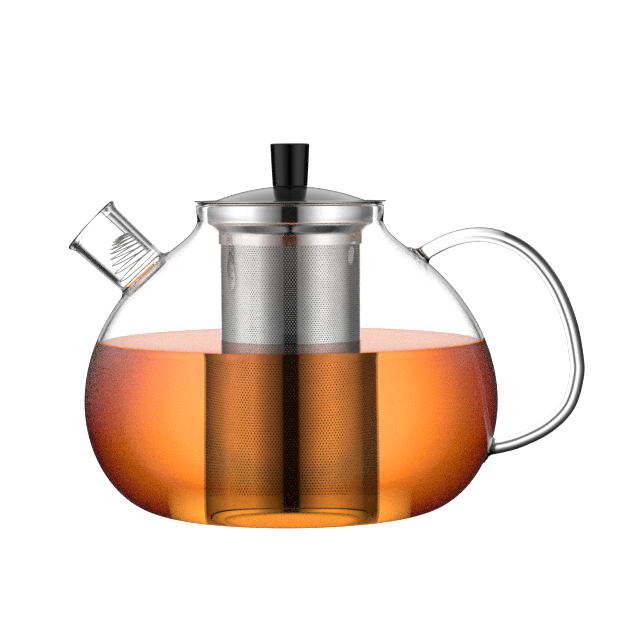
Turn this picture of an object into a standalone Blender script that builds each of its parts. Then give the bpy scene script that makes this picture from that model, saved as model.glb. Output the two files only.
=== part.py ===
"""Glass teapot with a lift-out steel infuser, a domed lid and a coil strainer in the spout.

Metres, +Z up. The origin is on the pot's axis at the underside of its base. The handle is on +X and the spout on -X.
"""

import math

import bmesh
import bpy
from mathutils import Vector

TAU = 2.0 * math.pi
GAP = 0.0003  # space left between pieces that touch or are fused

# Glass bowl
BASE_FLAT_RADIUS = 0.0502
BASE_THICKNESS = 0.0024
WALL = 0.0018
BELLY_RADIUS = 0.0794
BELLY_HEIGHT = 0.0414
BASE_CORNER_REACH = 0.0144
BELLY_REACH_DOWN = 0.0231
BELLY_REACH_UP = 0.0221
SHOULDER_RADIUS = 0.0500
SHOULDER_HEIGHT = 0.0966
SHOULDER_REACH_RADIUS = 0.0167
SHOULDER_REACH_HEIGHT = 0.0125
NECK_RADIUS = 0.0357
NECK_HEIGHT = 0.1112
NECK_BORE_RADIUS = 0.0337
RIM_RADIUS = 0.0361
RIM_TOP = 0.1168
RIM_BEAD_DEPTH = 0.0028

# Spout: a straight tube on the -X shoulder
SPOUT_ANGLE = math.radians(43.0)
SPOUT_ROOT = Vector((-0.0577, 0.0, 0.0920))
SPOUT_LENGTH = 0.0262
SPOUT_BORE_ROOT = 0.0093
SPOUT_BORE_LIP = 0.0099
SPOUT_OUTER_ROOT = 0.01065
SPOUT_OUTER_LIP = 0.0113
SPOUT_LIP_RADIUS = 0.01245
SPOUT_LIP_DEPTH = 0.0034
SPOUT_BURIED = 0.0110

# Handle: a bent rod of oval section
HANDLE_PATH = (
    (0.0440, 0.0925),
    (0.0522, 0.0985),
    (0.0628, 0.1035),
    (0.0733, 0.1050),
    (0.0832, 0.1027),
    (0.0927, 0.0965),
    (0.1012, 0.0855),
    (0.1070, 0.0717),
    (0.1097, 0.0585),
    (0.1099, 0.0500),
    (0.1066, 0.0391),
    (0.0990, 0.0312),
    (0.0885, 0.0258),
    (0.0790, 0.0232),
    (0.0700, 0.0222),
)
HANDLE_THICKNESS = 0.0058
HANDLE_WIDTH = 0.0080
HANDLE_PAD_SWELL = 0.45
HANDLE_PAD_LENGTH = 0.016

# Infuser
FLANGE_RADIUS = 0.0356
FLANGE_TOP = 0.1176
SHEET = 0.0005
COLLAR_RADIUS = 0.0318
COLLAR_FOOT = 0.1108
BAND_RADIUS = 0.0277
BAND_TOP = 0.1051
BAND_FOOT = 0.1010
SLEEVE_RADIUS = 0.0269
SLEEVE_TOP = 0.1045
SLEEVE_FOOT = 0.0123
BASE_CUP_RADIUS = 0.0270
BASE_CUP_TOP = 0.0120
BASE_CUP_FOOT = 0.0101
BASE_CUP_ROUND = 0.0014

# Lid
LID_RIM_RADIUS = 0.0368
LID_RIM_UNDER = 0.1179
DOME_RADIUS = 0.0290
DOME_APEX = 0.1240
DOME_SEAT_RADIUS = 0.0072
SKIRT_RADIUS = 0.0309
SKIRT_HEIGHT = 0.0062
SKIRT_LIP = 0.0012
KNOB_TOP_RADIUS = 0.00757
KNOB_FOOT_RADIUS = 0.0067
KNOB_HEIGHT = 0.0163
KNOB_BORE_RADIUS = 0.0019
KNOB_BORE_DEPTH = 0.0095
SCREW_RADIUS = 0.0016
SCREW_HEAD_RADIUS = 0.0032
SCREW_HEAD_HEIGHT = 0.0018
SCREW_LENGTH = 0.0090
SCREW_SLOT_WIDTH = 0.0007
SCREW_SLOT_DEPTH = 0.0008
WASHER_RADIUS = 0.0046
WASHER_THICKNESS = 0.0006
LID_HOLE_RADIUS = 0.0020

# Coil strainer
WIRE_RADIUS = 0.00026
COIL_TURNS = 10.0
COIL_RADIUS = 0.00865
COIL_TIP_SHARE = 0.17
COIL_RISE = 0.0134
COIL_START = 0.0006
COIL_LEAN = 0.0050
COIL_TILT = math.radians(20.0)
TAIL_TIP_RISE = 0.0255
TAIL_TIP_LEAN = 0.0064

# Smoothness
BODY_SIDES = 52
SMALL_SIDES = 40
COIL_STEPS_PER_TURN = 16
WIRE_SIDES = 5
HANDLE_SIDES = 12


def clear_scene():
    for obj in list(bpy.data.objects):
        bpy.data.objects.remove(obj, do_unlink=True)


def material(name, color, roughness, metallic=0.0, transmission=0.0):
    made = bpy.data.materials.new(name)
    made.use_nodes = True
    shader = made.node_tree.nodes["Principled BSDF"]
    shader.inputs["Base Color"].default_value = (*color, 1.0)
    shader.inputs["Roughness"].default_value = roughness
    shader.inputs["Metallic"].default_value = metallic
    shader.inputs["Transmission Weight"].default_value = transmission
    return made


def glass_material(name):
    return material(name, (0.93, 0.97, 0.97), 0.02, transmission=1.0)


def steel_material(name, roughness):
    return material(name, (0.62, 0.61, 0.59), roughness, metallic=1.0)


def black_plastic_material(name):
    return material(name, (0.012, 0.012, 0.013), 0.22)


def finish(name, mesh_data, look, hidden=False):
    """Turns a bmesh into an object with outward faces and smooth shading."""
    bmesh.ops.recalc_face_normals(mesh_data, faces=mesh_data.faces)
    if mesh_data.calc_volume(signed=True) < 0.0:
        bmesh.ops.reverse_faces(mesh_data, faces=mesh_data.faces)
    mesh = bpy.data.meshes.new(name)
    mesh_data.to_mesh(mesh)
    mesh_data.free()
    for polygon in mesh.polygons:
        polygon.use_smooth = True
    obj = bpy.data.objects.new(name, mesh)
    bpy.context.scene.collection.objects.link(obj)
    if look is not None:
        mesh.materials.append(look)
    if hidden:
        obj.hide_render = True
        obj.display_type = "WIRE"
    return obj


def revolved(name, outline, look, sides, hidden=False):
    """A solid from a closed outline of (radius, height) pairs, turned about Z. Points at radius 0 become single poles."""
    data = bmesh.new()
    rings = []
    for radius, height in outline:
        if radius < 1e-7:
            rings.append([data.verts.new((0.0, 0.0, height))])
            continue
        ring = []
        for step in range(sides):
            angle = TAU * step / sides
            ring.append(data.verts.new((radius * math.cos(angle), radius * math.sin(angle), height)))
        rings.append(ring)
    for index, ring in enumerate(rings):
        following = rings[(index + 1) % len(rings)]
        if len(ring) == 1 and len(following) == 1:
            continue
        for step in range(sides):
            after = (step + 1) % sides
            if len(ring) == 1:
                data.faces.new((ring[0], following[after], following[step]))
            elif len(following) == 1:
                data.faces.new((ring[step], ring[after], following[0]))
            else:
                data.faces.new((ring[step], ring[after], following[after], following[step]))
    return finish(name, data, look, hidden)


def bezier(start, reach_start, reach_end, end, count):
    """Points of a cubic curve, both ends included."""
    points = []
    for step in range(count):
        t = step / (count - 1)
        s = 1.0 - t
        weights = (s * s * s, 3.0 * s * s * t, 3.0 * s * t * t, t * t * t)
        controls = (start, reach_start, reach_end, end)
        points.append(tuple(sum(w * c[axis] for w, c in zip(weights, controls)) for axis in range(2)))
    return points


def bowl_outline(lower_steps, upper_steps, neck_steps):
    """The bowl's outer line from the edge of its flat base up to the neck."""
    lower = bezier(
        (BASE_FLAT_RADIUS, 0.0),
        (BASE_FLAT_RADIUS + BASE_CORNER_REACH, 0.0),
        (BELLY_RADIUS, BELLY_HEIGHT - BELLY_REACH_DOWN),
        (BELLY_RADIUS, BELLY_HEIGHT),
        lower_steps,
    )
    upper = bezier(
        (BELLY_RADIUS, BELLY_HEIGHT),
        (BELLY_RADIUS, BELLY_HEIGHT + BELLY_REACH_UP),
        (SHOULDER_RADIUS + SHOULDER_REACH_RADIUS, SHOULDER_HEIGHT - SHOULDER_REACH_HEIGHT),
        (SHOULDER_RADIUS, SHOULDER_HEIGHT),
        upper_steps,
    )
    neck = bezier(
        (SHOULDER_RADIUS, SHOULDER_HEIGHT),
        (SHOULDER_RADIUS - 0.30 * SHOULDER_REACH_RADIUS, SHOULDER_HEIGHT + 0.38 * SHOULDER_REACH_HEIGHT),
        (NECK_RADIUS, NECK_HEIGHT - 0.0050),
        (NECK_RADIUS, NECK_HEIGHT),
        neck_steps,
    )
    return lower + upper[1:] + neck[1:]


def offset_outline(points, distance):
    """The same open line moved sideways: a positive distance goes outwards, away from the axis."""
    moved = []
    last = len(points) - 1
    for index, (radius, height) in enumerate(points):
        before = points[max(index - 1, 0)]
        after = points[min(index + 1, last)]
        run = after[0] - before[0]
        rise = after[1] - before[1]
        length = math.hypot(run, rise)
        moved.append((radius + distance * rise / length, height - distance * run / length))
    return moved


def rim_bead():
    """The rolled rim, from the outside of the neck round to the bore."""
    centre_height = RIM_TOP - 0.5 * RIM_BEAD_DEPTH
    middle = 0.5 * (RIM_RADIUS + NECK_BORE_RADIUS)
    half_width = 0.5 * (RIM_RADIUS - NECK_BORE_RADIUS)
    points = []
    for step in range(7):
        angle = math.pi * step / 6.0
        points.append((middle + half_width * math.cos(angle), centre_height + 0.5 * RIM_BEAD_DEPTH * math.sin(angle)))
    return points


def glass_outline():
    """The closed outline of the bowl's glass: outside, rim, then back down the inside."""
    outside = bowl_outline(8, 9, 5)
    inside = offset_outline(bowl_outline(8, 9, 5), -WALL)
    inside = [(radius, max(height, BASE_THICKNESS)) for radius, height in inside]
    inside = [point for point in inside if point[1] < NECK_HEIGHT - 0.002 and point[0] > NECK_BORE_RADIUS]
    inside[0] = (BASE_FLAT_RADIUS - WALL, BASE_THICKNESS)
    return (
        [(0.0, 0.0)]
        + outside
        + rim_bead()
        + [(NECK_BORE_RADIUS, NECK_HEIGHT)]
        + inside[::-1]
        + [(0.0, BASE_THICKNESS)]
    )


def keep_out():
    """A helper the size of the bowl plus the gap, used to trim what is fused to it."""
    grown = offset_outline(bowl_outline(13, 15, 8), GAP)
    grown[0] = (BASE_FLAT_RADIUS, -GAP)
    outline = [(0.0, -GAP)] + grown + [(NECK_RADIUS + GAP, RIM_TOP), (0.0, RIM_TOP)]
    return revolved("keep_out", outline, None, 2 * BODY_SIDES, hidden=True)


def cut(obj, cutter):
    boolean = obj.modifiers.new("trim", "BOOLEAN")
    boolean.operation = "DIFFERENCE"
    boolean.solver = "EXACT"
    boolean.object = cutter


def place_on_spout(obj):
    """Moves a shape built along +Z from the origin onto the spout's axis."""
    obj.location = SPOUT_ROOT
    obj.rotation_euler = (0.0, SPOUT_ANGLE - 0.5 * math.pi, 0.0)


def spout_point(rise, lean, across):
    """A point given along the spout's axis, away from it in the plane of symmetry, and across it."""
    along = Vector((-math.cos(SPOUT_ANGLE), 0.0, math.sin(SPOUT_ANGLE)))
    sideways = Vector((math.sin(SPOUT_ANGLE), 0.0, math.cos(SPOUT_ANGLE)))
    return SPOUT_ROOT + along * rise + sideways * lean + Vector((0.0, across, 0.0))


def build_glass_body():
    body = revolved("glass_body", glass_outline(), glass_material("pot_glass"), BODY_SIDES)
    bore = revolved(
        "spout_bore",
        [(0.0, -0.012), (SPOUT_BORE_ROOT, -0.012), (SPOUT_BORE_ROOT, 0.012), (0.0, 0.012)],
        None,
        SMALL_SIDES,
        hidden=True,
    )
    place_on_spout(bore)
    cut(body, bore)
    return body


def build_spout_tube(trimmer):
    lip_foot = SPOUT_LENGTH - SPOUT_LIP_DEPTH
    outline = [
        (SPOUT_OUTER_ROOT, -SPOUT_BURIED),
        (SPOUT_OUTER_ROOT, 0.0),
        (SPOUT_OUTER_LIP, lip_foot),
        (0.5 * (SPOUT_OUTER_LIP + SPOUT_LIP_RADIUS), lip_foot + 0.40 * SPOUT_LIP_DEPTH),
        (SPOUT_LIP_RADIUS - 0.0002, SPOUT_LENGTH - 0.0012),
        (SPOUT_LIP_RADIUS, SPOUT_LENGTH - 0.0006),
        (SPOUT_LIP_RADIUS - 0.0003, SPOUT_LENGTH - 0.0001),
        (SPOUT_LIP_RADIUS - 0.0009, SPOUT_LENGTH),
        (SPOUT_BORE_LIP + 0.0008, SPOUT_LENGTH - 0.0006),
        (SPOUT_BORE_LIP, lip_foot + 0.25 * SPOUT_LIP_DEPTH),
        (SPOUT_BORE_ROOT, 0.0),
        (SPOUT_BORE_ROOT, -SPOUT_BURIED),
    ]
    tube = revolved("spout_tube", outline, glass_material("spout_glass"), SMALL_SIDES)
    place_on_spout(tube)
    cut(tube, trimmer)
    return tube


def smooth_path(controls, steps):
    """Catmull-Rom points through the controls, as (x, z)."""
    points = []
    last = len(controls) - 1
    for index in range(last):
        before = Vector(controls[max(index - 1, 0)])
        start = Vector(controls[index])
        end = Vector(controls[index + 1])
        after = Vector(controls[min(index + 2, last)])
        for step in range(steps):
            t = step / steps
            points.append(
                0.5
                * (
                    2.0 * start
                    + (end - before) * t
                    + (2.0 * before - 5.0 * start + 4.0 * end - after) * t * t
                    + (3.0 * start - before - 3.0 * end + after) * t * t * t
                )
            )
    points.append(Vector(controls[last]))
    return points


def build_handle(trimmer):
    path = smooth_path(HANDLE_PATH, 3)
    lengths = [0.0]
    for before, after in zip(path, path[1:]):
        lengths.append(lengths[-1] + (after - before).length)
    data = bmesh.new()
    rings = []
    for index, point in enumerate(path):
        before = path[max(index - 1, 0)]
        after = path[min(index + 1, len(path) - 1)]
        along = (after - before).normalized()
        normal = Vector((along.y, -along.x))
        from_end = min(lengths[index], lengths[-1] - lengths[index])
        closeness = max(0.0, 1.0 - from_end / HANDLE_PAD_LENGTH)
        swell = 1.0 + HANDLE_PAD_SWELL * closeness * closeness
        ring = []
        for step in range(HANDLE_SIDES):
            angle = TAU * step / HANDLE_SIDES
            outward = 0.5 * HANDLE_THICKNESS * swell * math.cos(angle)
            across = 0.5 * HANDLE_WIDTH * swell * math.sin(angle)
            place = point + normal * outward
            ring.append(data.verts.new((place.x, across, place.y)))
        rings.append(ring)
    skin(data, rings)
    handle = finish("handle", data, glass_material("handle_glass"))
    cut(handle, trimmer)
    return handle


def skin(data, rings):
    """Joins rings of equal size into a tube with closed ends."""
    sides = len(rings[0])
    for ring, following in zip(rings, rings[1:]):
        for step in range(sides):
            after = (step + 1) % sides
            data.faces.new((ring[step], ring[after], following[after], following[step]))
    data.faces.new(rings[0][::-1])
    data.faces.new(rings[-1])


def build_infuser_collar():
    under = FLANGE_TOP - SHEET
    corner = 0.0012
    outline = [
        (FLANGE_RADIUS, FLANGE_TOP),
        (COLLAR_RADIUS - SHEET + 0.0004, FLANGE_TOP),
        (COLLAR_RADIUS - SHEET, FLANGE_TOP - 0.0005),
        (COLLAR_RADIUS - SHEET, COLLAR_FOOT + 0.0002),
        (COLLAR_RADIUS - SHEET - 0.0006, COLLAR_FOOT - 0.0014),
        (BAND_RADIUS - SHEET + 0.0007, BAND_TOP + 0.0012),
        (BAND_RADIUS - SHEET, BAND_TOP),
        (BAND_RADIUS - SHEET, BAND_FOOT),
        (BAND_RADIUS, BAND_FOOT),
        (BAND_RADIUS, BAND_TOP - 0.0001),
        (BAND_RADIUS + 0.0006, BAND_TOP + 0.0010),
        (COLLAR_RADIUS - 0.0006, COLLAR_FOOT - 0.0016),
        (COLLAR_RADIUS, COLLAR_FOOT),
        (COLLAR_RADIUS, under - corner),
        (COLLAR_RADIUS + 0.3 * corner, under - 0.3 * corner),
        (COLLAR_RADIUS + corner, under),
        (FLANGE_RADIUS, under),
    ]
    return revolved("infuser_collar", outline, steel_material("collar_steel", 0.24), BODY_SIDES)


def build_infuser_sleeve():
    inner = SLEEVE_RADIUS - SHEET
    outline = [
        (SLEEVE_RADIUS, SLEEVE_FOOT),
        (SLEEVE_RADIUS, SLEEVE_TOP),
        (inner, SLEEVE_TOP),
        (inner, SLEEVE_FOOT),
    ]
    return revolved("infuser_sleeve", outline, steel_material("sleeve_steel", 0.30), SMALL_SIDES)


def build_infuser_base():
    outline = [(0.0, BASE_CUP_FOOT)]
    for step in range(4):
        angle = 0.5 * math.pi * step / 3.0
        radius = BASE_CUP_RADIUS - BASE_CUP_ROUND + BASE_CUP_ROUND * math.sin(angle)
        height = BASE_CUP_FOOT + BASE_CUP_ROUND - BASE_CUP_ROUND * math.cos(angle)
        outline.append((radius, height))
    outline += [
        (BASE_CUP_RADIUS, BASE_CUP_TOP),
        (BASE_CUP_RADIUS - SHEET, BASE_CUP_TOP),
        (BASE_CUP_RADIUS - SHEET - 0.0006, BASE_CUP_FOOT + SHEET),
        (0.0, BASE_CUP_FOOT + SHEET),
    ]
    return revolved("infuser_base", outline, steel_material("cup_steel", 0.26), SMALL_SIDES)


def dome_height(radius):
    """Height of the lid's outer face over a radius: a shallow cap that meets the flat rim."""
    fall = DOME_APEX - (LID_RIM_UNDER + SHEET)
    return DOME_APEX - fall * (radius / DOME_RADIUS) ** 2


def build_lid_dome():
    top = LID_RIM_UNDER + SHEET
    seat = dome_height(DOME_SEAT_RADIUS)
    radii = [DOME_SEAT_RADIUS + (DOME_RADIUS - DOME_SEAT_RADIUS) * step / 6.0 for step in range(7)]
    outer = [(radius, dome_height(radius)) for radius in radii]
    inner = [(radius, height - SHEET) for radius, height in outer]
    inner[-1] = (DOME_RADIUS - 0.0004, LID_RIM_UNDER)
    outline = [(LID_HOLE_RADIUS, seat)] + outer + [(LID_RIM_RADIUS, top), (LID_RIM_RADIUS, LID_RIM_UNDER)]
    outline += inner[::-1] + [(LID_HOLE_RADIUS, seat - SHEET)]
    return revolved("lid_dome", outline, steel_material("lid_steel", 0.22), BODY_SIDES)


def build_lid_skirt():
    top = LID_RIM_UNDER - GAP
    outline = [
        (SKIRT_RADIUS, top),
        (SKIRT_RADIUS - SHEET - SKIRT_LIP, top),
        (SKIRT_RADIUS - SHEET - SKIRT_LIP, top - SHEET),
        (SKIRT_RADIUS - SHEET, top - SHEET),
        (SKIRT_RADIUS - SHEET, top - SKIRT_HEIGHT),
        (SKIRT_RADIUS, top - SKIRT_HEIGHT),
    ]
    return revolved("lid_skirt", outline, steel_material("skirt_steel", 0.30), BODY_SIDES)


def build_lid_knob():
    foot = dome_height(DOME_SEAT_RADIUS) + GAP
    top = foot + KNOB_HEIGHT
    outline = [
        (KNOB_BORE_RADIUS, foot),
        (KNOB_FOOT_RADIUS - 0.0005, foot),
        (KNOB_FOOT_RADIUS, foot + 0.0006),
        (KNOB_FOOT_RADIUS + 0.00042, foot + 0.45 * KNOB_HEIGHT),
        (KNOB_TOP_RADIUS, top - 0.0010),
        (KNOB_TOP_RADIUS - 0.00025, top - 0.0004),
        (KNOB_TOP_RADIUS - 0.0009, top),
        (0.0, top),
        (0.0, foot + KNOB_BORE_DEPTH),
        (KNOB_BORE_RADIUS, foot + KNOB_BORE_DEPTH),
    ]
    return revolved("lid_knob", outline, black_plastic_material("knob_plastic"), SMALL_SIDES)


def build_knob_washer():
    top = dome_height(DOME_SEAT_RADIUS) - SHEET - GAP
    outline = [
        (LID_HOLE_RADIUS, top),
        (LID_HOLE_RADIUS, top - WASHER_THICKNESS),
        (WASHER_RADIUS, top - WASHER_THICKNESS),
        (WASHER_RADIUS, top),
    ]
    return revolved("knob_washer", outline, steel_material("washer_steel", 0.32), 24)


def build_knob_screw():
    under_head = dome_height(DOME_SEAT_RADIUS) - SHEET - 2.0 * GAP - WASHER_THICKNESS
    head = under_head - SCREW_HEAD_HEIGHT
    outline = [
        (0.0, head),
        (0.75 * SCREW_HEAD_RADIUS, head + 0.0002),
        (SCREW_HEAD_RADIUS, head + 0.0009),
        (SCREW_HEAD_RADIUS, under_head),
        (SCREW_RADIUS, under_head),
        (SCREW_RADIUS, under_head + SCREW_LENGTH - 0.0004),
        (SCREW_RADIUS - 0.0004, under_head + SCREW_LENGTH),
        (0.0, under_head + SCREW_LENGTH),
    ]
    screw = revolved("knob_screw", outline, steel_material("screw_steel", 0.34), 24)
    data = bmesh.new()
    bmesh.ops.create_cube(data, size=1.0)
    for vertex in data.verts:
        vertex.co.x *= 3.0 * SCREW_HEAD_RADIUS
        vertex.co.y *= SCREW_SLOT_WIDTH
        vertex.co.z = head + (SCREW_SLOT_DEPTH if vertex.co.z > 0.0 else -SCREW_SLOT_DEPTH)
    slot = finish("screw_slot", data, None, hidden=True)
    cut(screw, slot)
    return screw


def coil_place(share):
    """The wire's centre at this share of the coil, from the base ring to the tip of the dome."""
    angle = TAU * COIL_TURNS * share
    radius = COIL_RADIUS * (1.0 - (1.0 - COIL_TIP_SHARE) * share**1.35)
    rise = COIL_START + COIL_RISE * (1.0 - (1.0 - share) ** 2.2)
    lean = COIL_LEAN * math.sin(0.5 * math.pi * share) ** 1.6
    tilt = COIL_TILT * math.sin(0.5 * math.pi * min(1.0, share / 0.45))
    sideways = radius * math.cos(angle)
    return spout_point(
        rise - sideways * math.sin(tilt),
        lean + sideways * math.cos(tilt),
        radius * math.sin(angle),
    )


def build_spout_filter():
    count = int(COIL_TURNS * COIL_STEPS_PER_TURN)
    path = [coil_place(step / count) for step in range(count + 1)]
    tip = spout_point(TAIL_TIP_RISE, TAIL_TIP_LEAN, 0.0)
    start = path[-1]
    leave = (path[-1] - path[-2]).normalized()
    bend = start + leave * 0.0009 + (tip - start).normalized() * 0.0005
    path += [bend, bend.lerp(tip, 0.12), bend.lerp(tip, 0.5), tip]
    data = bmesh.new()
    rings = []
    side = None
    for index, point in enumerate(path):
        before = path[max(index - 1, 0)]
        after = path[min(index + 1, len(path) - 1)]
        along = (after - before).normalized()
        if side is None:
            side = along.orthogonal().normalized()
        side = (side - along * side.dot(along)).normalized()
        up = along.cross(side)
        ring = []
        for step in range(WIRE_SIDES):
            turn = TAU * step / WIRE_SIDES
            ring.append(data.verts.new(point + side * (WIRE_RADIUS * math.cos(turn)) + up * (WIRE_RADIUS * math.sin(turn))))
        rings.append(ring)
    skin(data, rings)
    return finish("spout_filter", data, steel_material("filter_steel", 0.20))


def build():
    clear_scene()
    trimmer = keep_out()
    build_glass_body()
    build_spout_tube(trimmer)
    build_handle(trimmer)
    build_infuser_collar()
    build_infuser_sleeve()
    build_infuser_base()
    build_lid_dome()
    build_lid_skirt()
    build_lid_knob()
    build_knob_washer()
    build_knob_screw()
    build_spout_filter()


build()
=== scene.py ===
"""Looks for the glass teapot: fused glass pot, polished infuser and lid, black knob, wire strainer and tea.

Metres, +Z up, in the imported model's own frame: the handle is on +X and the spout on -X.
"""

import math
from types import SimpleNamespace

import bmesh
import bpy
import numpy as np
from mathutils import Matrix, Vector


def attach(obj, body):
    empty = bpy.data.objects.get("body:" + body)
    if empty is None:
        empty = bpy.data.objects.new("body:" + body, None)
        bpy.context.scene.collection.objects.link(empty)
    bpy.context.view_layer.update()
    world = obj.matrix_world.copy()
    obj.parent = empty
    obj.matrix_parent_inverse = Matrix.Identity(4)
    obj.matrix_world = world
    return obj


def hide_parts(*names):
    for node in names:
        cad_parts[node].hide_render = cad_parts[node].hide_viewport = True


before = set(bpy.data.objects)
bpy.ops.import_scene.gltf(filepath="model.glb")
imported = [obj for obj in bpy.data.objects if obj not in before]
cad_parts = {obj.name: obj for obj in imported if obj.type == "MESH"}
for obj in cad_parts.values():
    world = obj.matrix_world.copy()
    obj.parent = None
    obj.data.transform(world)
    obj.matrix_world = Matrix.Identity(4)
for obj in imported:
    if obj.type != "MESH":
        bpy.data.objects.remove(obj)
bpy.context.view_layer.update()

TAU = 2.0 * math.pi
GAP = 0.0003  # space left between pieces that touch
WHITE = (1.0, 1.0, 1.0, 1.0)
ON_AXIS = 1e-7  # a radius below this is a point on the axis

# Glass bowl
BASE_FLAT_RADIUS = 0.0502
BASE_THICKNESS = 0.0024
WALL = 0.0018
BELLY_RADIUS = 0.0794
BELLY_HEIGHT = 0.0414
BASE_CORNER_REACH = 0.0144
BELLY_REACH_DOWN = 0.0231
BELLY_REACH_UP = 0.0221
SHOULDER_RADIUS = 0.0500
SHOULDER_HEIGHT = 0.0966
SHOULDER_REACH_RADIUS = 0.0167
SHOULDER_REACH_HEIGHT = 0.0125
NECK_REACH_SHARE = 0.34  # the same slope, with a shorter reach, leads on from the shoulder to the neck
NECK_REACH_HEIGHT = 0.0050
NECK_RADIUS = 0.0357
NECK_HEIGHT = 0.1112
NECK_BORE_RADIUS = 0.0337
RIM_RADIUS = 0.0361
RIM_TOP = 0.1168
RIM_BEAD_DEPTH = 0.0028
RIM_SQUARENESS = 0.45  # 1 is round, less is squarer
RIM_STEPS = 24

# Spout
SPOUT_ANGLE = math.radians(43.0)
SPOUT_ROOT = Vector((-0.0577, 0.0, 0.0920))
SPOUT_LENGTH = 0.0262
SPOUT_BORE_ROOT = 0.0093
SPOUT_BORE_LIP = 0.0099
SPOUT_OUTER_ROOT = 0.01065
SPOUT_OUTER_LIP = 0.0113
SPOUT_LIP_RADIUS = 0.01245
SPOUT_LIP_DEPTH = 0.0034
SPOUT_BURIED = 0.0110
SPOUT_FOOT_FLARE = 0.0019

# Handle
HANDLE_PATH = (
    (0.0440, 0.0925),
    (0.0522, 0.0985),
    (0.0628, 0.1035),
    (0.0733, 0.1050),
    (0.0832, 0.1027),
    (0.0927, 0.0965),
    (0.1012, 0.0855),
    (0.1070, 0.0717),
    (0.1097, 0.0585),
    (0.1099, 0.0500),
    (0.1066, 0.0391),
    (0.0990, 0.0312),
    (0.0885, 0.0258),
    (0.0790, 0.0232),
    (0.0700, 0.0222),
)
HANDLE_THICKNESS = 0.00578
HANDLE_WIDTH = 0.0080
HANDLE_FOOT_FLARE = 0.0028
HANDLE_LOOP_CENTRE = (0.0700, 0.0640)

# Infuser
FLANGE_RADIUS = 0.0356
FLANGE_TOP = 0.1176
SHEET = 0.0005
COLLAR_RADIUS = 0.0318
COLLAR_FOOT = 0.1108
BAND_RADIUS = 0.0277
BAND_TOP = 0.1051
BAND_FOOT = 0.1010
SLEEVE_RADIUS = 0.0269
SLEEVE_TOP = 0.1045
SLEEVE_FOOT = 0.0123
BASE_CUP_RADIUS = 0.0270
BASE_CUP_TOP = 0.0120
BASE_CUP_FOOT = 0.0101
BASE_CUP_ROUND = 0.0014
HOLES_AROUND = 156
HOLE_ROW_PITCH = 0.000769
HOLE_RADIUS = 0.00024
HOLES_FROM = 0.0155
HOLES_TO = 0.1012
PAINTED_HOLLOW_GLOW = 0.03  # painted glow: how bright the inside looks through the holes
PAINTED_HOLLOW_GLINT = 0.22  # and a painted highlight, brighter along its middle, above the tea

# Lid
LID_RIM_RADIUS = 0.0368
LID_RIM_UNDER = 0.1179
DOME_RADIUS = 0.0290
DOME_APEX = 0.1240
DOME_SEAT_RADIUS = 0.0072
SKIRT_RADIUS = 0.0309
SKIRT_HEIGHT = 0.0062
SKIRT_LIP = 0.0012
KNOB_TOP_RADIUS = 0.00757
KNOB_FOOT_RADIUS = 0.0067
KNOB_HEIGHT = 0.0163
KNOB_BORE_RADIUS = 0.0019
KNOB_BORE_DEPTH = 0.0095
SCREW_RADIUS = 0.0016
SCREW_HEAD_RADIUS = 0.0032
SCREW_HEAD_HEIGHT = 0.0018
SCREW_LENGTH = 0.0090
SCREW_SLOT_WIDTH = 0.0007
SCREW_SLOT_DEPTH = 0.0008
WASHER_RADIUS = 0.0046
WASHER_THICKNESS = 0.0006
LID_HOLE_RADIUS = 0.0020

# Coil strainer
WIRE_RADIUS = 0.00026
COIL_TURNS = 10.0
COIL_RADIUS = 0.00865
COIL_TIP_SHARE = 0.17
COIL_RISE = 0.0134
COIL_START = 0.0006
COIL_LEAN = 0.0050
COIL_TILT = math.radians(20.0)
TAIL_TIP_RISE = 0.0255
TAIL_TIP_LEAN = 0.0064

# Tea
TEA_LEVEL = 0.0653
TEA_OVERLAP = 0.0009  # how far the tea reaches into the glass wall, so that no air shows between them
TEA_FLOOR_OVERLAP = 0.0017
# Painted pale sheen in the tea: the heights it runs between, and its strength
TEA_PAINTED_SHEEN_FROM = 0.030
TEA_PAINTED_SHEEN_TO = 0.064
TEA_PAINTED_SHEEN = 0.016
TEA_IOR = 1.25
TEA_SURFACE_IOR = 1.06
GLASS_IOR = 1.47

# The space that is kept clear of the branches stops this many points of the outline below the rim
RIM_POINTS_LEFT = 6

# Which glass material each part of the fused pot has
BOWL_REGION = 0
SPOUT_REGION = 1
HANDLE_REGION = 2
FOOT_REGION = 3

# Light that enters the bowl's glass keeps this share of each colour, from head on at 0 to edge on at 1: the
# glass's faint tint, and painted shade that darkens it towards edge on
BOWL_TINTS_AND_EDGE_SHADES = ((0.0, 1.0), (0.86, (0.98, 0.99, 0.99)), (0.95, (0.55, 0.58, 0.58)), (1.0, (0.2, 0.22, 0.22)))

# Painted shade in the spout and handle glass: how bright the studio looks through it, from head on at 0 to
# edge on at 1
SPOUT_UNDERSIDE = (
    *((0.0, 1.5), (0.20, 1.4), (0.34, 0.7), (0.42, 0.16), (0.52, 0.07)),
    *((0.58, 0.6), (0.66, 1.1), (0.82, 0.9), (0.93, 0.3), (1.0, 0.2)),
)
SPOUT_UPPERSIDE = (
    *((0.0, 1.5), (0.42, 1.4), (0.54, 0.7), (0.60, 0.10)),
    *((0.70, 0.12), (0.76, 1.1), (0.9, 0.9), (1.0, 0.2)),
)
HANDLE_OUTSIDE = (
    *((0.0, 1.2), (0.016, 0.75), (0.044, 0.77), (0.088, 0.25), (0.152, 0.168)),
    *((0.24, 0.055), (0.35, 0.025), (0.60, 0.03), (1.0, 0.10)),
)
HANDLE_INSIDE = (
    *((0.0, 1.2), (0.016, 1.1), (0.040, 0.386), (0.075, 0.15), (0.17, 0.12)),
    *((0.25, 0.9), (0.35, 1.3), (0.60, 1.1), (0.80, 0.7), (1.0, 0.5)),
)
HANDLE_ROOT_OUTSIDE = ((0.0, 1.4), (0.48, 1.3), (0.62, 0.35), (1.0, 0.2))
HANDLE_ROOT_INSIDE = (
    *((0.0, 1.4), (0.03, 1.3), (0.05, 0.55), (0.075, 1.3)),
    *((0.42, 1.2), (0.55, 0.12), (1.0, 0.08)),
)
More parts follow.
